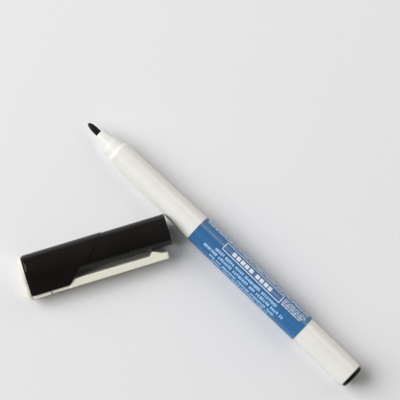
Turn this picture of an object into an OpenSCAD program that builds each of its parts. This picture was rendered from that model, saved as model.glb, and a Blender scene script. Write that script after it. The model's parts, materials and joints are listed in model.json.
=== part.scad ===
/* [Barrel] */
// Radius of the barrel at the label's front edge, its thickest place
barrel_r = 5.06; // [5.03:0.01:5.1]
// Radius of the barrel at its front shoulder
shoulder_r = 4.4; // [4.1:0.05:4.8]
// Radius of the barrel's tail just behind the label
tail_r = 4.92; // [4.5:0.02:5.1]
// Radius of the barrel at its rear rim
rim_r = 4.76; // [4.6:0.02:4.9]
// Distance from the nib's tip to the barrel's front shoulder
shoulder_t = 14.4; // [14:0.1:16]
// Distance from the nib's tip to the barrel's rear rim
barrel_end_t = 130.4; // [125:0.1:140]
// Radius of the bore that holds the ink core
bore_r = 3.95; // [3.7:0.05:4.1]

/* [Label] */
// Radius over the label sleeve
label_r = 5.2; // [5.18:0.01:5.3]
// Distance from the nib's tip to the label's front edge
label_front_t = 54.6; // [50:0.1:60]
// Length of the label sleeve
label_len = 52; // [40:0.1:60]

/* [Nib and nose] */
// Radius of the fibre nib
nib_r = 1.22; // [0.8:0.02:1.6]
// Length of nib that stands out of the nose
nib_out = 5.55; // [4:0.05:7]
// Radius of the nose at the nib
nose_tip_r = 2.45; // [2:0.05:2.8]
// Radius of the nose cone where it meets the seal ring
nose_cone_r = 3.12; // [2.9:0.02:3.4]
// Radius of the seal ring's front edge
seal_front_r = 3.58; // [3.4:0.02:3.7]
// Radius of the seal ring at the shoulder
seal_back_r = 3.8; // [3.7:0.02:3.85]
// Distance from the nib's tip to the seal ring
seal_t = 11.2; // [9:0.1:12]

/* [Ink core] */
// Radius of the fibre core that holds the ink
core_r = 3.62; // [3:0.02:3.7]
// Length of the ink core
core_len = 82; // [60:1:95]
// Thickness of the film wrapped around the core
wrap_wall = 0.15; // [0.1:0.01:0.25]

/* [Cap] */
// Radius of the cap's tube
cap_r = 5.7; // [5.6:0.05:6]
// Radius of the raised collar around the closed half of the cap
collar_r = 5.95; // [5.85:0.05:6.3]
// Length of the cap without its end disc
cap_len = 53.1; // [52:0.1:60]
// Radius of the cap's mouth
mouth_r = 5.15; // [5.12:0.01:5.3]
// Depth of the mouth's straight wall
mouth_len = 20; // [15:1:24]
// Length of the collar on the side away from the clip
collar_long = 29.6; // [26:0.1:32]
// Length of the collar on the clip's side
collar_short = 17.6; // [17.5:0.1:22]

/* [Clip] */
// Width of the clip
clip_w = 6.6; // [5:0.1:7]
// Height of the clip's housing over the cap's axis
housing_h = 8.65; // [8.5:0.05:9.2]
// Height of the clip's outer face over the cap's axis
clip_top = 10.05; // [9.9:0.05:10.4]
// Height of the clip arm's inner face over the cap's axis, at the arm's root
arm_inner = 7; // [6.95:0.05:7.5]
// Thickness of the clip arm at its root
arm_wall = 2.85; // [2.2:0.05:2.9]
// Distance from the closed end to the clip arm's free end
arm_end = 50.8; // [49:0.1:52]
// Thickness of the end disc
disc_wall = 1.4; // [1:0.1:2]
// Distance from the closed end to the steep face of the clip's barb
barb_s = 44.2; // [40:0.1:44.5]
// How far the clip's barb stands off the arm
barb_h = 1.4; // [0.5:0.05:1.4]

/* [Where the cap lies] */
// Angle from the pen to the cap's mouth direction
cap_turn = 61; // [55:1:70]
// Clip's angle below the horizontal
clip_droop = 16; // [10:1:25]
// Place of the cap's closed end along the pen
cap_x = -59.15; // [-62:0.05:-59]
// Place of the cap's closed end across the pen
cap_y = -54.15; // [-60:0.05:-54.1]

/* [Hidden] */
$fn = 96;

// Pen, measured from the nib's tip
label_mid_t = label_front_t + label_len / 2;
label_back_t = label_front_t + label_len;
fit_gap = 0.02;
edge = 0.3;
// Moulded walls widen by this much towards the end where the mould's core leaves
draft = 0.05;
shoulder_len = 0.8;
spigot_r = 3.7;
spigot_back_t = 24;
nib_back_t = 26;
nib_round_len = 3.8;
core_front_t = 24.2;
plug_rim_r = 4.45;
plug_rim_len = 1.1;
plug_dome = 0.45;
plug_depth = 9;
plug_wall = 1;
plug_brow = 0.09;
rear_bore_r = 4;
plug_shank_r = rear_bore_r - fit_gap;

// Cap, measured from the closed end's face
end_wall = 1.2;
stud_r = 2;
disc_margin = 0.15;
deep_r = 5;
housing_end = 14;
housing_half = clip_w / 2 + 0.2;
inner_cap_len = 16.2;
inner_cap_r = 3.85;
inner_cap_back = 0.8;
inner_cap_hole_r = 2.5;
flange_len = 1.5;
flange_step = 0.35;
ramp_len = 2.7;
step_s = 7;
split_s = 17;
split_gap = 0.2;
arm_taper = 0.3;
arm_outer = arm_inner + arm_wall;
barb_rise = 1.2;
barb_flat = 0.3;
barb_run = 4.9;
tip_in = 0.1;
tip_out = 0.35;
margin = 1;
ramp_slope = (housing_h - collar_r) / ramp_len;
cut_slope = (collar_long - collar_short) / (2 * collar_r);
cut_size = 60;
table_z = -label_r;
cap_z = table_z + collar_r;

// The nib's outline is half of an oval, cut into short cones
function nib_outline(n = 10) =
    [for (i = [0:n]) [nib_r * sqrt(1 - pow(1 - i / n, 2)), nib_round_len * i / n]];

// Turns an outline of [radius, distance from the nib's tip] about the pen's axis
module turned(points) {
    translate([-label_mid_t, 0, 0]) rotate([0, 90, 0])
        rotate_extrude() polygon(points);
}

// Places what is drawn with the cap's mouth along +Z and its clip along +X
module in_cap_place() {
    translate([cap_x, cap_y, cap_z]) rotate([0, 0, cap_turn]) rotate([0, 90, 0])
        rotate([0, 0, clip_droop - 90]) children();
}

// A side outline of [height over the cap's axis, distance from the closed end]
module clip_profile(points) {
    rotate([90, 0, 0]) linear_extrude(height = clip_w, center = true) polygon(points);
}

// The outline of collar and clip housing seen from the cap's end
module housing_outline(shrink = 0) {
    flank = collar_r - edge - shrink;
    corner = housing_half - shrink;
    circle(r = collar_r - shrink);
    polygon([[0, -flank], [housing_h, -corner], [housing_h, corner], [0, flank]]);
}

// The end disc's outline, with its tab to the clip strip
module disc_outline() {
    tab_w = clip_w - 2 * disc_margin;
    housing_outline(disc_margin);
    translate([0, -tab_w / 2]) square([clip_top - disc_margin, tab_w]);
}

module barrel() {
    color("white") turned([
        [spigot_r + fit_gap, shoulder_t],
        [shoulder_r - edge, shoulder_t],
        [shoulder_r, shoulder_t + shoulder_len],
        [barrel_r, label_front_t - edge],
        [barrel_r - draft, label_back_t],
        [tail_r, label_back_t + edge],
        [rim_r, barrel_end_t - edge],
        [rim_r - edge, barrel_end_t],
        [rear_bore_r, barrel_end_t],
        [rear_bore_r, barrel_end_t - plug_depth - edge],
        [bore_r, barrel_end_t - plug_depth - 2 * edge],
        [bore_r, spigot_back_t + edge],
        [spigot_r + fit_gap, spigot_back_t]
    ]);
}

module nose() {
    color("white") turned([
        [nib_r + fit_gap, nib_out],
        [nose_tip_r - edge, nib_out],
        [nose_tip_r, nib_out + edge],
        [nose_cone_r, seal_t],
        [seal_front_r - edge / 2, seal_t],
        [seal_front_r, seal_t + edge / 2],
        [seal_back_r, shoulder_t],
        [spigot_r, shoulder_t],
        [spigot_r, spigot_back_t],
        [nib_r + fit_gap, spigot_back_t]
    ]);
}

module nib() {
    color("midnightblue") turned(concat(
        nib_outline(),
        [[nib_r, nib_back_t - nib_r], [nib_r / 2, nib_back_t], [0, nib_back_t]]
    ));
}

module ink_core() {
    socket_back_t = nib_back_t + fit_gap;
    color("steelblue") turned([
        [nib_r + fit_gap, core_front_t],
        [core_r, core_front_t],
        [core_r, core_front_t + core_len],
        [0, core_front_t + core_len],
        [0, socket_back_t],
        [nib_r + fit_gap, socket_back_t]
    ]);
}

module core_wrap() {
    wrap_in = core_r + fit_gap;
    wrap_end_t = core_front_t + core_len;
    color("lightblue") turned([
        [wrap_in, core_front_t],
        [wrap_in + wrap_wall, core_front_t],
        [wrap_in + wrap_wall, wrap_end_t],
        [wrap_in, wrap_end_t]
    ]);
}

module label_sleeve() {
    color("royalblue") turned([
        [barrel_r + fit_gap, label_front_t],
        [label_r, label_front_t],
        [label_r, label_back_t],
        [barrel_r - draft + fit_gap, label_back_t]
    ]);
}

module end_plug() {
    plug_front_t = barrel_end_t - plug_depth;
    rim_back_t = barrel_end_t + plug_rim_len;
    color("black") turned([
        [plug_shank_r - plug_wall, plug_front_t],
        [plug_shank_r - edge, plug_front_t],
        [plug_shank_r, plug_front_t + edge],
        [plug_shank_r, barrel_end_t],
        [plug_rim_r, barrel_end_t],
        [plug_rim_r, rim_back_t - edge],
        [plug_rim_r - edge, rim_back_t],
        [plug_rim_r / 2, rim_back_t + plug_dome - plug_brow],
        [0, rim_back_t + plug_dome],
        [0, barrel_end_t],
        [plug_shank_r - plug_wall, barrel_end_t]
    ]);
}

module cap_outer() {
    rotate_extrude() polygon([
        [0, 0], [cap_r, 0], [cap_r, cap_len - edge / 2], [cap_r - edge / 2, cap_len], [0, cap_len]
    ]);
    difference() {
        union() {
            cylinder(r = collar_r, h = collar_long + edge);
            linear_extrude(height = housing_end) housing_outline();
            intersection() {
                linear_extrude(height = collar_long) housing_outline();
                rotate([90, 0, 0]) linear_extrude(height = cap_len, center = true) polygon([
                    [0, 0], [housing_h, 0], [housing_h, housing_end],
                    [collar_r, housing_end + ramp_len], [0, housing_end + ramp_len]
                ]);
            }
        }
        // The collar's front edge runs aslant across the tube
        rotate([90, 0, 0]) linear_extrude(height = cut_size, center = true) polygon([
            [-collar_r - margin, collar_long + cut_slope * margin],
            [housing_h + margin, collar_short - cut_slope * (housing_h + margin - collar_r)],
            [housing_h + margin, cut_size],
            [-collar_r - margin, cut_size]
        ]);
    }
}

module cap_shell() {
    straight_end = cap_len - edge;
    color("black") in_cap_place() difference() {
        cap_outer();
        translate([0, 0, -margin]) cylinder(r = stud_r + fit_gap, h = end_wall + 2 * margin);
        rotate_extrude() polygon([
            [0, end_wall],
            [deep_r, end_wall],
            [deep_r + draft, straight_end - mouth_len - edge],
            [mouth_r, straight_end - mouth_len],
            [mouth_r, straight_end],
            [mouth_r + edge, cap_len],
            [mouth_r + edge, cap_len + margin],
            [0, cap_len + margin]
        ]);
    }
}

module inner_cap() {
    flange_r = deep_r - fit_gap;
    waist_r = flange_r - flange_step;
    back = end_wall + fit_gap / 2;
    front = back + inner_cap_len;
    color("whitesmoke") in_cap_place() rotate_extrude() polygon([
        [inner_cap_hole_r, back],
        [flange_r, back],
        [flange_r, back + flange_len],
        [waist_r, back + flange_len + edge],
        [waist_r, front - flange_len - edge],
        [flange_r, front - flange_len],
        [flange_r, front],
        [inner_cap_r + edge, front],
        [inner_cap_r, front - edge],
        [inner_cap_r, back + inner_cap_back],
        [inner_cap_hole_r, back + inner_cap_back]
    ]);
}

module clip_base() {
    strip_in = housing_h + fit_gap;
    ramp_top = housing_end + (housing_h - arm_inner) / ramp_slope + fit_gap;
    base_end = split_s - split_gap / 2;
    color("cornsilk") in_cap_place() {
        translate([0, 0, -disc_wall]) linear_extrude(height = disc_wall) disc_outline();
        translate([0, 0, -disc_wall / 2]) cylinder(r = stud_r, h = disc_wall / 2 + end_wall);
        clip_profile([
            [strip_in, -disc_wall / 2],
            [strip_in, housing_end],
            [arm_inner + fit_gap, ramp_top],
            [arm_inner, base_end],
            [arm_outer, base_end],
            [arm_outer, step_s + edge],
            [clip_top, step_s],
            [clip_top, -disc_wall / 2]
        ]);
    }
}

module clip_arm() {
    barb_in = arm_inner + arm_taper;
    arm_front = split_s + split_gap / 2;
    color("cornsilk") in_cap_place() clip_profile([
        [arm_inner, arm_front],
        [barb_in, barb_s],
        [barb_in - barb_h, barb_s + barb_rise],
        [barb_in - barb_h, barb_s + barb_rise + barb_flat],
        [barb_in + tip_in, barb_s + barb_run],
        [barb_in + tip_out, arm_end],
        [arm_outer - edge, arm_end],
        [arm_outer, arm_end - edge],
        [arm_outer, arm_front]
    ]);
}

barrel();
nose();
nib();
ink_core();
core_wrap();
label_sleeve();
end_plug();
cap_shell();
inner_cap();
clip_base();
clip_arm();
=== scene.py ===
import json
import math
import random

import bmesh
import bpy
from mathutils import Matrix, Vector


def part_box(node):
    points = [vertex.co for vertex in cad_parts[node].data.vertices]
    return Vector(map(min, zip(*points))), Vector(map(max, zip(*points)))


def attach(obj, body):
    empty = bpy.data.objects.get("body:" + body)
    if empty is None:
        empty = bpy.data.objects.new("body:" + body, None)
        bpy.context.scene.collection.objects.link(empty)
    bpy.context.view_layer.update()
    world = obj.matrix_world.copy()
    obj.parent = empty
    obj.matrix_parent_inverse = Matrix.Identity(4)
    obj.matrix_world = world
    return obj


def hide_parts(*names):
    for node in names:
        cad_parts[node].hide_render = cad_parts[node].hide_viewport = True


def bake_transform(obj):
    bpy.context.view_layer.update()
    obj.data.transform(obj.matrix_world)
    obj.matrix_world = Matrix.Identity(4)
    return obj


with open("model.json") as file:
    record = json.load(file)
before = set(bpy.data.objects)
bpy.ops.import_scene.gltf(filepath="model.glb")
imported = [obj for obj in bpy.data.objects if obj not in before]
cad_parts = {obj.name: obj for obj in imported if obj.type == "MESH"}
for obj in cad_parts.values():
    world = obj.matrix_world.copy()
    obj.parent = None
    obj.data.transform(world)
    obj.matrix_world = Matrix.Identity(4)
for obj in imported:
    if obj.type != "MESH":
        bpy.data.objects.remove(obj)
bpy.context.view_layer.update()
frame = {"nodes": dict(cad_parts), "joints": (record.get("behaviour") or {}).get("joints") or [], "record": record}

MM = 0.001
record = frame["record"]
mounts = {m["name"]: m for m in record["mounts"]}
joints = {j["name"]: j for j in frame["joints"]}

# ---------------------------------------------------------------- places, from the frame

# Along the pen, every distance t is in millimetres from the nib's tip
TIP_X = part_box("nib")[0].x / MM


def t_of(node, end):
    """The distance from the nib's tip of a CAD node's low (0) or high (1) end."""
    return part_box(node)[end].x / MM - TIP_X


def radius_of(node):
    """The outer radius of one of the pen's CAD nodes, in millimetres."""
    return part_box(node)[1].z / MM


NIB_R, NIB_END_T = radius_of("nib"), t_of("nib", 1)
NOSE_R, NOSE_T, NOSE_END_T = radius_of("nose"), t_of("nose", 0), t_of("nose", 1)
SEAL_T = 11.2                        # where the nose's cone steps out to its seal ring
SHOULDER_T, REAR_T = t_of("barrel", 0), t_of("barrel", 1)
LABEL_R = radius_of("label_sleeve")
LABEL_T0, LABEL_T1 = t_of("label_sleeve", 0), t_of("label_sleeve", 1)
PLUG_R, PLUG_T, PLUG_END_T = radius_of("end_plug"), t_of("end_plug", 0), t_of("end_plug", 1)
TABLE_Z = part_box("label_sleeve")[0].z

# In the cap's own frame x points to the clip, z from the closed end to the mouth
CAP_Z = Vector(mounts["cap_mouth"]["axis"])
CAP_Y = Vector(joints["clip_flex"]["axis"])
CAP_X = CAP_Y.cross(CAP_Z)
DISC_WALL = 1.4                      # the cream end disc's thickness
CAP_BACK = Vector(mounts["cap_end"]["pos_m"]) + CAP_Z * DISC_WALL * MM
MOUTH_EDGE = 0.3                     # the bevel at each end of the mouth's bore
MOUTH_LEN = mounts["cap_mouth"]["dims"]["length_mm"]
MOUTH_R = mounts["cap_mouth"]["dims"]["r_mm"]
MOUTH_MIDDLE = (Vector(mounts["cap_mouth"]["pos_m"]) - CAP_BACK).dot(CAP_Z) / MM
CAP_LEN = MOUTH_MIDDLE + MOUTH_LEN / 2 + MOUTH_EDGE


def in_cap(x, y, z):
    """A point of the cap's own frame, in millimetres, as a point of the row frame in metres."""
    return CAP_BACK + (CAP_X * x + CAP_Y * y + CAP_Z * z) * MM


# ---------------------------------------------------------------- camera and light

IMAGE_TURN = math.radians(46.06)     # from +X, clockwise, to the image's downward direction
LEAN_DOWN = 0.1285                   # how far the camera leans from straight above, as sines
LEAN_RIGHT = -0.0242
VIEW_CENTRE = Vector((-32.43, 7.96, 0.0)) * MM
CAMERA_DISTANCE = 0.8253
LENS = 207.0

image_down = Vector((math.cos(IMAGE_TURN), -math.sin(IMAGE_TURN), 0.0))
image_right = Vector((math.sin(IMAGE_TURN), math.cos(IMAGE_TURN), 0.0))
up = Vector((0, 0, 1))


def towards(right, down, rise):
    """A direction along the image's own right and down, and up from the table."""
    return image_right * right + image_down * down + up * rise


def aim(obj, place, target, top=None):
    """Puts obj at place, looking along its -Z at target, with its Y towards top."""
    back = (place - target).normalized()
    y = top or image_down * -1
    y = (y - back * y.dot(back)).normalized()
    x = y.cross(back)
    obj.matrix_world = Matrix((
        (x.x, y.x, back.x, place.x),
        (x.y, y.y, back.y, place.y),
        (x.z, y.z, back.z, place.z),
        (0, 0, 0, 1),
    ))


def make_camera():
    """The photograph's camera, which looks almost straight down."""
    data = bpy.data.cameras.new("camera")
    data.lens = LENS
    camera = bpy.data.objects.new("camera", data)
    bpy.context.scene.collection.objects.link(camera)
    back = image_down * LEAN_DOWN + image_right * LEAN_RIGHT
    back += up * math.sqrt(1.0 - back.length_squared)
    aim(camera, VIEW_CENTRE + back * CAMERA_DISTANCE, VIEW_CENTRE)
    bpy.context.scene.camera = camera


def area_light(name, direction, distance, side, power, colour=(1, 1, 1)):
    """A square panel, side metres wide, that hangs in that direction from the middle of the scene."""
    data = bpy.data.lights.new(name, "AREA")
    data.shape = "SQUARE"
    data.size = side
    data.energy = power
    data.color = colour
    light = bpy.data.objects.new(name, data)
    bpy.context.scene.collection.objects.link(light)
    aim(light, VIEW_CENTRE + direction.normalized() * distance, VIEW_CENTRE, up)
    return light


ROOM_COLOUR = (1.0, 0.975, 0.93)
ROOM_STRENGTH = 0.12


def make_lights():
    """A wide window to the left, a weaker one at the upper right, and a little light from all round."""
    area_light("window_light", towards(-1.0, -0.22, 0.82), distance=2.2, side=2.1, power=68.5,
               colour=(0.975, 0.98, 1.0))
    area_light("far_window", towards(0.7, -0.7, 0.6), distance=1.8, side=2.0, power=14.5,
               colour=(1.0, 0.975, 0.94))
    # Seen only in gloss: it draws the thin highlight along the pen
    glint = area_light("glint", towards(0.692, -0.722, 1.05), distance=1.2, side=0.05, power=1.5)
    glint.visible_diffuse = False
    world = bpy.data.worlds.new("studio")
    world.use_nodes = True
    background = world.node_tree.nodes["Background"]
    background.inputs["Color"].default_value = (*ROOM_COLOUR, 1)
    background.inputs["Strength"].default_value = ROOM_STRENGTH
    bpy.context.scene.world = world
    bpy.context.scene.view_settings.view_transform = "Standard"


# ---------------------------------------------------------------- materials

class Recipe:
    """A node material with object coordinates, built up step by step."""

    def __init__(self, name):
        self.material = bpy.data.materials.new(name)
        self.material.use_nodes = True
        self.tree = self.material.node_tree
        self.shader = self.tree.nodes["Principled BSDF"]
        self.place = self.tree.nodes.new("ShaderNodeTexCoord").outputs["Object"]

    def set(self, **values):
        """Sets shader sockets by name, with _ in place of each space."""
        for key, value in values.items():
            self.shader.inputs[key.replace("_", " ")].default_value = value

    def node(self, kind, **settings):
        """A new node with these settings."""
        made = self.tree.nodes.new(kind)
        for key, value in settings.items():
            setattr(made, key, value)
        return made

    def link(self, source, target):
        self.tree.links.new(source, target)

    def stretched(self, turn, scale):
        """Coordinates turned into a local frame and stretched along its axes."""
        mapping = self.node("ShaderNodeMapping")
        mapping.vector_type = "TEXTURE"
        mapping.inputs["Rotation"].default_value = turn
        mapping.inputs["Scale"].default_value = [1.0 / s for s in scale]
        self.link(self.place, mapping.inputs["Vector"])
        return mapping.outputs["Vector"]

    def noise(self, scale, detail=3.0, where=None, roughness=0.55):
        """Noise in the object's own coordinates, or in the ones given."""
        made = self.node("ShaderNodeTexNoise")
        made.inputs["Scale"].default_value = scale
        made.inputs["Detail"].default_value = detail
        made.inputs["Roughness"].default_value = roughness
        self.link(where or self.place, made.inputs["Vector"])
        return made.outputs["Fac"]

    def ramp(self, source, low, high, low_at=0.3, high_at=0.7):
        """Turns a value into a colour between low and high."""
        made = self.node("ShaderNodeValToRGB")
        made.color_ramp.elements[0].position = low_at
        made.color_ramp.elements[1].position = high_at
        made.color_ramp.elements[0].color = (*low, 1)
        made.color_ramp.elements[1].color = (*high, 1)
        self.link(source, made.inputs["Fac"])
        return made.outputs["Color"]

    def scaled(self, source, low, high, from_low=0.3, from_high=0.7):
        """Stretches a value's range from_low to from_high onto low to high."""
        made = self.node("ShaderNodeMapRange")
        made.inputs["From Min"].default_value = from_low
        made.inputs["From Max"].default_value = from_high
        made.inputs["To Min"].default_value = low
        made.inputs["To Max"].default_value = high
        self.link(source, made.inputs["Value"])
        return made.outputs["Result"]

    def bump(self, heights):
        """Stacks bumps, each a (source, depth in millimetres, strength)."""
        last = None
        for source, depth, strength in heights:
            made = self.node("ShaderNodeBump")
            made.inputs["Distance"].default_value = depth * MM
            made.inputs["Strength"].default_value = strength
            self.link(source, made.inputs["Height"])
            if last is not None:
                self.link(last, made.inputs["Normal"])
            last = made.outputs["Normal"]
        self.link(last, self.shader.inputs["Normal"])

    def colour(self, source):
        self.link(source, self.shader.inputs["Base Color"])

    def roughness(self, source):
        self.link(source, self.shader.inputs["Roughness"])


def shade(colour, factor):
    """A colour made darker or lighter by a factor."""
    return tuple(c * factor for c in colour)


# How a material's grain is turned to run along the pen or along the cap
PEN_TURN = (0.0, 0.0, 0.0)
CAP_TURN = (0.0, 0.0, math.atan2(CAP_Z.y, CAP_Z.x))


def moulded_plastic(name, colour, rough, turn=PEN_TURN, tone=0.03, scuffs=0.25, peel=0.02, shine=0.5):
    """Injection-moulded plastic: soft tone drift, orange peel, and hairline scuffs along the piece."""
    m = Recipe(name)
    m.set(IOR=1.49, Specular_IOR_Level=shine)
    drift = m.noise(70.0, 2.0)
    m.colour(m.ramp(drift, shade(colour, 1 - tone), shade(colour, 1 + tone)))
    hair = m.noise(1.0, 4.0, m.stretched(turn, (120.0, 5200.0, 5200.0)))
    m.roughness(m.scaled(hair, rough, rough + scuffs, 0.52, 0.78))
    fine = m.noise(2600.0, 2.0)
    m.bump([(fine, peel, 0.25), (hair, 0.01, 0.12)])
    return m.material


def fibre(name, dark, light, rough):
    """Bundled fibres that run along the pen."""
    m = Recipe(name)
    m.set(Sheen_Weight=0.05, Sheen_Roughness=0.5, IOR=1.45, Specular_IOR_Level=0.15)
    strands = m.noise(1.0, 5.0, m.stretched(PEN_TURN, (250.0, 9000.0, 9000.0)), 0.7)
    m.colour(m.ramp(strands, dark, light, 0.42, 0.66))
    m.roughness(m.scaled(strands, rough - 0.12, rough + 0.12))
    m.bump([(strands, 0.03, 0.6)])
    return m.material


def label_film():
    """Blue printed film: fine halftone grain, slight stretch marks across, soft gloss."""
    m = Recipe("label_film_blue")
    blue = (0.033, 0.146, 0.335)
    m.set(IOR=1.5, Specular_IOR_Level=0.4)
    drift = m.noise(55.0, 2.0)
    grain = m.noise(5200.0, 1.0)
    tone = m.node("ShaderNodeMath", operation="ADD")
    m.link(m.scaled(drift, 0.0, 0.6), tone.inputs[0])
    m.link(m.scaled(grain, 0.0, 0.4), tone.inputs[1])
    m.colour(m.ramp(tone.outputs[0], shade(blue, 0.93), shade(blue, 1.08), 0.15, 0.85))
    marks = m.noise(1.0, 3.0, m.stretched(PEN_TURN, (900.0, 260.0, 260.0)))
    m.roughness(m.scaled(marks, 0.24, 0.36))
    m.bump([(marks, 0.012, 0.2), (grain, 0.004, 0.2)])
    return m.material


def print_ink(name, thin_colour, full_colour):
    """Printing ink, slightly thin in places so that the film tints it."""
    m = Recipe(name)
    m.set(IOR=1.5)
    thin = m.noise(3400.0, 3.0)
    m.colour(m.ramp(thin, thin_colour, full_colour, 0.30, 0.62))
    m.roughness(m.scaled(thin, 0.42, 0.58))
    m.bump([(thin, 0.006, 0.3)])
    return m.material


def paper():
    """Smooth white paper with a fine tooth."""
    m = Recipe("floor_paper")
    m.set(IOR=1.3)
    tooth = m.noise(1400.0, 5.0)
    m.colour(m.ramp(tooth, (0.80, 0.80, 0.81), (0.83, 0.83, 0.84), 0.35, 0.65))
    m.roughness(m.scaled(tooth, 0.85, 0.95))
    m.bump([(tooth, 0.02, 0.15)])
    return m.material


def clear_film():
    """The thin wrinkled film round the ink core."""
    m = Recipe("core_film_clear")
    m.set(IOR=1.5)
    wrinkle = m.noise(1.0, 4.0, m.stretched(PEN_TURN, (300.0, 900.0, 900.0)))
    m.colour(m.ramp(wrinkle, (0.55, 0.62, 0.70), (0.70, 0.76, 0.82)))
    m.roughness(m.scaled(wrinkle, 0.15, 0.32))
    m.bump([(wrinkle, 0.05, 0.35)])
    return m.material


BARREL_WHITE = moulded_plastic(
    "barrel_white", (0.82, 0.812, 0.755), 0.24, tone=0.012, scuffs=0.14, peel=0.015, shine=0.4)
NOSE_WHITE = moulded_plastic(
    "nose_white", (0.81, 0.805, 0.76), 0.30, tone=0.012, scuffs=0.10, shine=0.4)
PLUG_BLACK = moulded_plastic(
    "plug_black", (0.0060, 0.0052, 0.0045), 0.22, tone=0.2, scuffs=0.3, shine=0.12)
CAP_BLACK = moulded_plastic(
    "cap_black", (0.0118, 0.0107, 0.0096), 0.13, CAP_TURN, tone=0.2, scuffs=0.16, shine=0.17)
# The arm's cream is set lighter than the moulding's own colour: painted light, as its upper side tilts away from
# the window
CLIP_CREAM_PAINTED_LIGHT = moulded_plastic(
    "clip_cream", (0.95, 0.93, 0.785), 0.36, CAP_TURN, tone=0.02, scuffs=0.15)
# The disc is a little darker than the rest of the clip although both are one moulding: painted shade, which
# offsets the window light falling straight on the disc
DISC_CREAM_PAINTED_SHADE = moulded_plastic(
    "disc_cream_painted_shade", (0.74, 0.715, 0.57), 0.42, CAP_TURN, tone=0.02, scuffs=0.15)
SEAL_WHITE = moulded_plastic(
    "seal_white", (0.74, 0.74, 0.71), 0.5, CAP_TURN, tone=0.03, scuffs=0.1)
NIB_FIBRE = fibre("nib_fibre", (0.0015, 0.0015, 0.004), (0.007, 0.007, 0.014), 0.40)
CORE_FIBRE = fibre("core_fibre", (0.01, 0.04, 0.14), (0.05, 0.12, 0.30), 0.8)
LABEL_BLUE = label_film()
PRINT_WHITE = print_ink("label_print_white", (0.60, 0.70, 0.80), (0.84, 0.87, 0.90))
PRINT_PALE = print_ink("label_print_pale", (0.22, 0.43, 0.68), (0.45, 0.64, 0.84))
CORE_FILM = clear_film()


# ---------------------------------------------------------------- mesh tools

SMOOTH_BELOW = math.radians(40)


def finish_piece(bm, name, material, body, replaces=(), blend=None):
    """Turns a bmesh into a smooth-shaded piece that rides on a body; given blend, it is left on no body, its place
    baked into the mesh.
    """
    bmesh.ops.remove_doubles(bm, verts=bm.verts, dist=1e-7)
    bmesh.ops.recalc_face_normals(bm, faces=bm.faces)
    mesh = bpy.data.meshes.new(name)
    bm.to_mesh(mesh)
    bm.free()
    mesh.polygons.foreach_set("use_smooth", [True] * len(mesh.polygons))
    mesh.set_sharp_from_angle(angle=SMOOTH_BELOW)
    mesh.materials.append(material)
    piece = bpy.data.objects.new(name, mesh)
    bpy.context.scene.collection.objects.link(piece)
    normals = piece.modifiers.new("even_normals", "WEIGHTED_NORMAL")
    normals.keep_sharp = True
    if blend:
        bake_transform(piece)
    else:
        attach(piece, body)
    if replaces:
        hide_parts(*replaces)


def softened(outline, steps=4):
    """A closed outline of (r, t, fillet) with each corner turned into a short curve."""
    made = []
    for i, (r, t, *fillet) in enumerate(outline):
        here = Vector((r, t))
        size = fillet[0] if fillet else 0.0
        if not size:
            made.append(here)
            continue
        before = Vector(outline[i - 1][:2]) - here
        after = Vector(outline[(i + 1) % len(outline)][:2]) - here
        a = here + before.normalized() * min(size, before.length * 0.45)
        b = here + after.normalized() * min(size, after.length * 0.45)
        for k in range(steps + 1):
            u = k / steps
            made.append(a * (1 - u) ** 2 + here * 2 * u * (1 - u) + b * u ** 2)
    return made


def rings_to_faces(bm, rings, closed=True):
    """Joins rings of the same number of points with quads. Closed also joins the last to the first."""
    rows = [[bm.verts.new(p) for p in ring] for ring in rings]
    count = len(rows[0])
    pairs = list(zip(rows, rows[1:])) + ([(rows[-1], rows[0])] if closed else [])
    for a, b in pairs:
        for i in range(count):
            j = (i + 1) % count
            bm.faces.new((a[i], a[j], b[j], b[i]))
    return rows


def quarter(steps):
    """Steps round a quarter circle of radius 1: what it gained along, and what it still lacks across."""
    for k in range(steps + 1):
        u = math.pi / 2 * k / steps
        yield 1 - math.cos(u), 1 - math.sin(u)


def turns(around):
    """Evenly spaced angles for one full turn."""
    return [math.tau * i / around for i in range(around)]


def pen_point(t, r, a):
    """A point t from the nib's tip and r from the pen's axis, at angle a from straight up."""
    return Vector((TIP_X + t, r * math.sin(a), r * math.cos(a))) * MM


def lathe(name, outline, material, replaces, around=144):
    """Turns an outline of (r, t, fillet) about the pen's axis into a closed piece of the pen."""
    bm = bmesh.new()
    rings_to_faces(bm, [[pen_point(t, r, a) for a in turns(around)] for r, t in softened(outline)])
    finish_piece(bm, name, material, "pen", replaces)


# ---------------------------------------------------------------- the pen

def make_nib():
    """The bullet-shaped fibre nib, a little blunt at the tip."""
    round_len, count = 3.8, 16
    outline = [(0.0, 0.0)]
    for k in range(1, count + 1):
        u = (k / count) ** 1.8
        outline.append((NIB_R * (1 - (1 - u) ** 2) ** 0.48, round_len * u))
    outline += [(NIB_R, NIB_END_T - 0.4, 0.3), (0.0, NIB_END_T)]
    lathe("nib_bullet", outline, NIB_FIBRE, ["nib"], around=72)


def make_nose():
    """The nib holder: a cone, a step, the tapered seal ring and the spigot in the barrel."""
    hole_r, spigot_r = 1.24, 3.7
    outline = [
        (hole_r, NOSE_T, 0.1), (2.45, NOSE_T, 0.32),
        (3.12, SEAL_T, 0.1), (3.58, SEAL_T, 0.16),
        (NOSE_R, SHOULDER_T - 0.02), (spigot_r, SHOULDER_T + 0.1),
        (spigot_r, NOSE_END_T, 0.3), (hole_r, NOSE_END_T, 0.1),
    ]
    lathe("nose_cone", outline, NOSE_WHITE, ["nose"])


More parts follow.
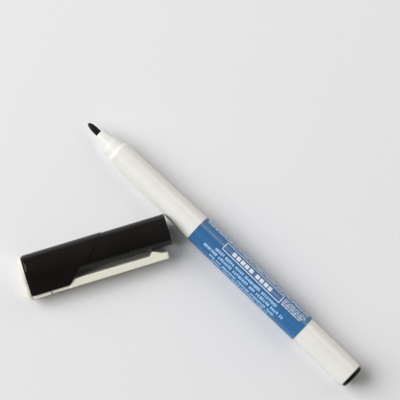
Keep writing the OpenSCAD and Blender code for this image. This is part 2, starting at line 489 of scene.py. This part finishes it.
def make_barrel():
    """The moulded barrel, with its front shoulder, label seat and tail."""
    front_bore_r, bore_r, rear_bore_r = 3.72, 3.95, 4.0
    outline = [
        (front_bore_r, SHOULDER_T, 0.05), (4.1, SHOULDER_T, 0.25), (4.4, SHOULDER_T + 0.8, 0.6),
        (5.06, LABEL_T0 - 0.3, 0.1), (5.01, LABEL_T1), (4.92, LABEL_T1 + 0.3, 0.1),
        (4.76, REAR_T - 0.3, 0.1), (4.5, REAR_T, 0.25), (rear_bore_r, REAR_T, 0.1),
        (rear_bore_r, PLUG_T - 0.3), (bore_r, PLUG_T - 0.6),
        (bore_r, NOSE_END_T + 0.3), (front_bore_r, NOSE_END_T),
    ]
    lathe("barrel_tube", outline, BARREL_WHITE, ["barrel"], around=192)


def make_plug():
    """The black rear plug, domed, with a shallow ring round its gate mark."""
    hollow_r, sleeve_r, back = 2.98, 3.98, PLUG_END_T
    outline = [
        (hollow_r, PLUG_T, 0.1), (sleeve_r, PLUG_T, 0.3), (sleeve_r, REAR_T),
        (PLUG_R, REAR_T, 0.12), (PLUG_R, back - 0.6, 0.5), (3.3, back - 0.16, 0.8),
        (1.25, back - 0.01, 0.2), (1.1, back - 0.12, 0.08),
        (0.75, back - 0.12, 0.08), (0.6, back - 0.02, 0.1),
        (0.0, back - 0.01), (0.0, REAR_T), (hollow_r, REAR_T),
    ]
    lathe("plug_domed", outline, PLUG_BLACK, ["end_plug"])


SEAM_ANGLE = math.radians(-118)      # where the lap starts, from straight up
SEAM_LAP = math.radians(34)
SEAM_STEP = 0.03                     # how far the lap stands out


def film_r(a):
    """The label film's outer radius at angle a."""
    on_lap = (a - SEAM_ANGLE) % math.tau < SEAM_LAP
    return LABEL_R if on_lap else LABEL_R - SEAM_STEP


def make_label():
    """The film sleeve: thin edges, and a lap seam where one end of the film covers the other."""
    bm = bmesh.new()
    inner_r, edge_len, edge_drop = 5.08, 0.08, 0.05
    rings = []
    for t, drop in (
        (LABEL_T0, edge_drop), (LABEL_T0 + edge_len, 0.0),
        (LABEL_T1 - edge_len, 0.0), (LABEL_T1, edge_drop),
    ):
        rings.append([pen_point(t, film_r(a) - drop, a) for a in turns(240)])
    for t in (LABEL_T1, LABEL_T0):
        rings.append([pen_point(t, inner_r, a) for a in turns(240)])
    rings_to_faces(bm, rings)
    finish_piece(bm, "label_wrap", LABEL_BLUE, "pen", ["label_sleeve"])


# ---------------------------------------------------------------- the label's printing

PRINT_R = LABEL_R - SEAM_STEP
PRINT_LIFT, PRINT_ROOT = 0.012, 0.02     # how far the ink stands out of the film, and reaches into it


def add_patch(bm, t0, t1, a0, a1):
    """A thin curved block of ink between two places along the pen and two angles in degrees."""
    across = max(1, math.ceil(abs(a1 - a0) / 4))
    outer, inner = PRINT_R + PRINT_LIFT, PRINT_R - PRINT_ROOT
    rings = []
    for r, t in ((outer, t0), (outer, t1), (inner, t1), (inner, t0)):
        row = []
        for k in range(across + 1):
            a = math.radians(a0 + (a1 - a0) * k / across)
            row.append(bm.verts.new(pen_point(t, r, a)))
        rings.append(row)
    for a, b in zip(rings, rings[1:] + rings[:1]):
        for k in range(across):
            bm.faces.new((a[k], a[k + 1], b[k + 1], b[k]))
    for k in (0, across):
        bm.faces.new([row[k] for row in rings])


def add_frame(bm, t0, t1, a0, a1, line):
    """A rectangular outline of ink. line is its width in millimetres."""
    line_a = math.degrees(line / PRINT_R)
    add_patch(bm, t0, t1, a0, a0 + line_a)
    add_patch(bm, t0, t1, a1 - line_a, a1)
    add_patch(bm, t0, t0 + line, a0 + line_a, a1 - line_a)
    add_patch(bm, t1 - line, t1, a0 + line_a, a1 - line_a)


def add_row(bm, draw, t0, t1, middle, height, pitch, words=(3, 9)):
    """A row of small blocks in groups, which stands for a line of printing."""
    half = math.degrees(height / 2 / PRINT_R)
    t = t0
    while t < t1 - pitch:
        for _ in range(draw.randint(*words)):
            width = pitch * draw.uniform(0.56, 0.86)
            if t + width > t1:
                break
            low, high = draw.choice(((-1.0, 1.0), (-1.0, 1.0), (-0.7, 1.0), (-1.0, 0.75)))
            add_patch(bm, t, t + width, middle + half * low, middle + half * high)
            t += pitch
        t += pitch * 0.7


def make_printing():
    """A framed title and rows of plain blocks in place of the label's words."""
    draw = random.Random(7)
    bold = bmesh.new()
    add_frame(bold, LABEL_T0 + 11.6, LABEL_T1 - 12.4, 2.6, 42.1, 0.30)
    letter_pitch = 2.05
    for start, letters in ((15.7, 5), (27.0, 4)):
        for k in range(letters):
            t = LABEL_T0 + start + letter_pitch * k
            add_patch(bold, t, t + draw.uniform(1.5, 1.72), 11.9, 29.8)
    for k in range(3):
        add_row(bold, draw, LABEL_T0 + 1.4, LABEL_T1 - 1.4, 53.0 + 10.5 * k, 0.6, 0.62, (2, 8))
    for k in range(4):
        add_row(bold, draw, LABEL_T1 - 11.6, LABEL_T1 - 2.0 + 0.3 * k, 9.0 + 9.5 * k, 0.5, 0.5, (2, 6))
    finish_piece(bold, "label_title", PRINT_WHITE, "pen")
    fine = bmesh.new()
    # Small capitals: the margins at both ends, then the row's angle, height and pitch
    for front, rear, middle, height, pitch in (
        (10.1, 12.1, -13.0, 1.08, 0.84),
        (5.8, 7.6, -32.0, 1.12, 0.92),
        (9.8, 10.4, -52.5, 1.00, 0.84),
        (11.5, 13.0, -70.0, 0.90, 0.80),
    ):
        add_row(fine, draw, LABEL_T0 + front, LABEL_T1 - rear, middle, height, pitch)
    for k in range(6):
        add_row(fine, draw, LABEL_T0 + 5.0, LABEL_T1 - 6.0, 118.0 + 10.5 * k, 0.5, 0.5, (2, 8))
    finish_piece(fine, "label_fine_print", PRINT_PALE, "pen")


# ---------------------------------------------------------------- the cap

TUBE_R, COLLAR_R = 5.7, 5.95             # the cap's outside, before and behind the collar's edge
COLLAR_SHORT, COLLAR_LONG = 17.6, 29.6   # where the collar ends beside the clip, and opposite it
HOUSING_H, HOUSING_HALF = 8.65, 3.5      # the clip housing's top above the axis, and its half width there
FLANK = 5.65                             # the housing's half width at the cap's axis
HOUSING_END, RAMP_LEN = 14.0, 2.7        # where the housing's top begins to fall, and over what length
SEAM_S = -0.3                            # where the black shell meets the cream disc
SHELL_ROUND = 1.20                       # the rounded edge at the shell's closed end
END_WALL_S = 1.2                         # the inner face of the shell's closed end
STUD_HOLE_R, STUD_R = 1.9, 2.0           # the disc's stud is a press fit in the closed end
CLIP_HALF = 3.3                          # half the clip's width
CLIP_TOP = 10.05                         # the strip's upper side, from the cap's axis


def smooth_min(a, b, k):
    """The smaller of a and b, with the change from one to the other rounded over k."""
    h = max(0.0, min(1.0, 0.5 + 0.5 * (b - a) / k))
    return b * (1 - h) + a * h - k * h * (1 - h)


def smooth_max(a, b, k):
    """The larger of a and b, rounded in the same way."""
    return -smooth_min(-a, -b, k)


def housing_reach(a, top, grow=0.0):
    """How far from the cap's axis the clip housing's outline lies at angle a from the clip."""
    cosine, sine = math.cos(a), abs(math.sin(a))
    if cosine < 0.02:
        return 0.0
    corner = HOUSING_HALF + grow
    flank = (FLANK + grow) / (sine + cosine * (FLANK + grow - corner) / HOUSING_H)
    return smooth_min(top / cosine, flank, 0.32)


def cap_outer_r(a, s):
    """The cap's outer radius at angle a and distance s from the closed end."""
    top = HOUSING_H
    if s > HOUSING_END:
        top -= (HOUSING_H - COLLAR_R) / RAMP_LEN * (s - HOUSING_END)
    reach = housing_reach(a, top)
    return smooth_max(COLLAR_R, reach, 0.12) if reach > COLLAR_R - 0.5 else COLLAR_R


def collar_edge(a):
    """Where the collar ends at angle a: its front edge runs aslant."""
    return COLLAR_SHORT + (COLLAR_LONG - COLLAR_SHORT) * (1 - math.cos(a)) / 2


def cap_angles():
    """Angles round the cap, closer together at the housing's corners."""
    made = set()
    for k in range(144):
        made.add(round(360.0 * k / 144, 3))
    corner = math.degrees(math.atan2(HOUSING_HALF, HOUSING_H))
    for side in (-1, 1):
        for k in range(-12, 13):
            made.add(round((side * corner + k * 0.4) % 360, 3))
    return [math.radians(a) for a in sorted(made)]


def cap_rings(angles, rows):
    """Turns rows of (r, s), each with one pair for every angle, into rings of points."""
    rings = []
    for row in rows:
        rings.append([in_cap(r * math.cos(a), r * math.sin(a), s) for a, (r, s) in zip(angles, row)])
    return rings


def make_cap_shell():
    """The black cap: tube, raised collar with an aslant edge, clip housing, bore and closed end."""
    angles = cap_angles()
    rows = [[(STUD_HOLE_R, SEAM_S)] * len(angles), [(4.6, SEAM_S)] * len(angles)]
    for along, inward in quarter(5):
        s = SEAM_S + SHELL_ROUND * along
        rows.append([(cap_outer_r(a, s) - SHELL_ROUND * inward, s) for a in angles])
    # The collar and the housing, up to the collar's aslant edge
    start, collar_rows = SEAM_S + SHELL_ROUND, 60
    for k in range(1, collar_rows + 1):
        row = []
        for a in angles:
            s = start + (collar_edge(a) - start) * k / collar_rows
            row.append((cap_outer_r(a, s), s))
        rows.append(row)
    # The soft step down to the tube, and the tube
    step, step_len = COLLAR_R - TUBE_R, 0.22
    for k in range(1, 6):
        share = k / 5
        fall = step * share * share * (3 - 2 * share)
        rows.append([(COLLAR_R - fall, collar_edge(a) + step_len * share) for a in angles])
    tube_end = CAP_LEN - 0.3
    for k in range(1, 9):
        row = []
        for a in angles:
            s = collar_edge(a) + step_len
            row.append((TUBE_R, s + (tube_end - s) * k / 8))
        rows.append(row)
    # The mouth's rounded lip, the bore and the inside of the closed end
    bore_end = CAP_LEN - MOUTH_EDGE - MOUTH_LEN
    inside = [
        (TUBE_R - 0.02, CAP_LEN - 0.12), (TUBE_R - 0.08, CAP_LEN - 0.03), (TUBE_R - 0.18, CAP_LEN),
        (MOUTH_R + 0.22, CAP_LEN), (MOUTH_R + 0.10, CAP_LEN - 0.06), (MOUTH_R, CAP_LEN - MOUTH_EDGE),
        (MOUTH_R, bore_end), (5.05, bore_end - MOUTH_EDGE),
        (5.0, END_WALL_S + 0.3), (4.7, END_WALL_S), (STUD_HOLE_R, END_WALL_S),
    ]
    rows += [[pair] * len(angles) for pair in inside]
    bm = bmesh.new()
    rings_to_faces(bm, cap_rings(angles, rows))
    finish_piece(bm, "cap_moulding", CAP_BLACK, "cap", ["cap_shell"])


def disc_reach(a, shrink):
    """The end disc's outline at angle a: the housing's outline with a tab to the clip strip."""
    cosine, sine = math.cos(a), abs(math.sin(a))
    body = max(COLLAR_R - shrink, housing_reach(a, HOUSING_H, -shrink))
    if cosine < 0.3:
        return body
    tab = smooth_min((CLIP_TOP - shrink) / cosine, (CLIP_HALF - shrink) / max(sine, 1e-4), 0.3)
    return max(body, tab)


def make_end_disc():
    """The cream disc that closes the cap, with its stud."""
    angles = cap_angles()
    bevel_r, bevel_s, inner = 1.3, 1.0, SEAM_S + 0.02
    rim = [disc_reach(a, 0.1) for a in angles]
    rows = [[pair] * len(angles) for pair in ((STUD_R, END_WALL_S), (STUD_R, inner), (4.0, inner))]
    rows.append([(r, inner) for r in rim])
    for inward, rise in quarter(8):
        rows.append([(r - bevel_r * inward, bevel_s * rise - DISC_WALL) for r in rim])
    for pair in ((3.0, -DISC_WALL), (0.0, -DISC_WALL), (0.0, END_WALL_S)):
        rows.append([pair] * len(angles))
    bm = bmesh.new()
    rings_to_faces(bm, cap_rings(angles, rows))
    finish_piece(bm, "clip_end_disc", DISC_CREAM_PAINTED_SHADE, "cap", ["clip_base"])


def clip_section(s, inner, outer, half):
    """One rounded cross-section of the clip at distance s from the cap's closed end."""
    steps = 4
    corner = min(0.32, (outer - inner) * 0.45, half * 0.9)
    made = []
    for cx, cy, first in (
        (outer - corner, half - corner, 0), (inner + corner, half - corner, 90),
        (inner + corner, -half + corner, 180), (outer - corner, -half + corner, 270),
    ):
        for k in range(steps + 1):
            a = math.radians(first + 90 * k / steps)
            made.append(in_cap(cx + corner * math.cos(a), cy + corner * math.sin(a), s))
    return made


ARM_IN, ARM_OUT = 7.0, 9.85              # the arm's under and upper side, from the cap's axis
ARM_END = 50.8
ARM_TAPER = 0.3                          # how much thinner the arm is at its barb than at its root
NOTCH_S = 7.0                            # the middle of the strip's cross notch
BARB_S, BARB_H = 44.2, 1.4               # where the barb begins, and how far it hangs
CLIP_ROOT = 17.0                         # where the arm bends
ROOT_REACH = 0.7                         # how far on each side of the root the span passed with the clip reaches


def strip_sections(slim):
    """The strip over the housing: round the shell's edge, over a cross notch and down the ramp."""
    under = HOUSING_H + 0.02
    hug = SHELL_ROUND * 0.9
    sections = [(-0.5, under - hug, CLIP_TOP - 0.06, slim)]
    for along, inward in quarter(5):
        sections.append((SEAM_S + SHELL_ROUND * along, under - hug * inward, CLIP_TOP, slim))
    groove = CLIP_TOP - 0.55, slim - 0.5
    ramp_end = HOUSING_END + (HOUSING_H - ARM_IN) * RAMP_LEN / (HOUSING_H - COLLAR_R)
    sections += [
        (NOTCH_S - 0.38, under, CLIP_TOP, slim),
        (NOTCH_S - 0.26, under, *groove),
        (NOTCH_S + 0.26, under, *groove),
        (NOTCH_S + 0.38, under, ARM_OUT + 0.05, slim),
        (HOUSING_END - 0.6, under, ARM_OUT, slim),
        (HOUSING_END - 0.1, under, ARM_OUT, CLIP_HALF - 0.1),
        (HOUSING_END + 0.1, under - 0.12, ARM_OUT, CLIP_HALF),
        (ramp_end - 0.12, ARM_IN + 0.12, ARM_OUT, CLIP_HALF),
        (ramp_end + 0.05, ARM_IN, ARM_OUT, CLIP_HALF),
    ]
    return sections


def arm_sections():
    """The free arm: close sections where it bends, a slow taper, the barb and the blunt end."""
    sections = [(CLIP_ROOT - 0.9 + 0.2 * k, ARM_IN, ARM_OUT, CLIP_HALF) for k in range(10)]
    start, stop = CLIP_ROOT + 2, BARB_S - 0.6
    for k in range(9):
        share = k / 8
        sections.append((start + (stop - start) * share, ARM_IN + ARM_TAPER * share, ARM_OUT, CLIP_HALF))
    base = ARM_IN + ARM_TAPER
    peak = base - BARB_H
    for s, inner in (
        (-0.12, base), (0.08, base - 0.08), (1.0, peak + 0.2), (1.25, peak + 0.02),
        (1.6, peak), (2.0, peak + 0.16), (4.7, base + 0.06), (5.1, base + 0.13),
    ):
        sections.append((BARB_S + s, inner, ARM_OUT, CLIP_HALF))
    blunt = 0.9
    for bend, back in quarter(6):
        inner, outer = base + 0.24 + 0.4 * bend, ARM_OUT - 0.3 * bend
        sections.append((ARM_END - blunt * back, inner, outer, CLIP_HALF - 0.7 * bend))
    return sections


def make_clip():
    """Strip and arm as one moulding."""
    bm = bmesh.new()
    sections = strip_sections(slim=CLIP_HALF - 0.35) + arm_sections()
    rows = rings_to_faces(bm, [clip_section(*section) for section in sections], closed=False)
    bm.faces.new(rows[0])
    bm.faces.new(list(reversed(rows[-1])))
    middle = (ARM_IN + ARM_OUT) / 2
    start = in_cap(middle, 0, CLIP_ROOT - ROOT_REACH)
    end = in_cap(middle, 0, CLIP_ROOT + ROOT_REACH)
    finish_piece(
        bm, "clip_strip_and_arm", CLIP_CREAM_PAINTED_LIGHT, "cap", ["clip_arm"], ("clip", start, end))


# ---------------------------------------------------------------- carried-over CAD nodes and the floor

def finish_node(node, material):
    """Gives a CAD node that stays as it is its own material."""
    obj = frame["nodes"][node]
    obj.data.materials.clear()
    obj.data.materials.append(material)


def make_floor():
    """The sheet of paper that everything lies on, wide enough for every view."""
    mesh = bpy.data.meshes.new("floor")
    half = 4.0
    corners = [(-half, -half, 0), (half, -half, 0), (half, half, 0), (-half, half, 0)]
    mesh.from_pydata(corners, [], [(0, 1, 2, 3)])
    mesh.materials.append(paper())
    floor = bpy.data.objects.new("floor", mesh)
    floor.location.z = TABLE_Z
    bpy.context.scene.collection.objects.link(floor)


make_camera()
make_lights()
make_floor()
make_nib()
make_nose()
make_barrel()
make_label()
make_printing()
make_plug()
make_cap_shell()
make_end_disc()
make_clip()
finish_node("ink_core", CORE_FIBRE)
finish_node("core_wrap", CORE_FILM)
finish_node("inner_cap", SEAL_WHITE)
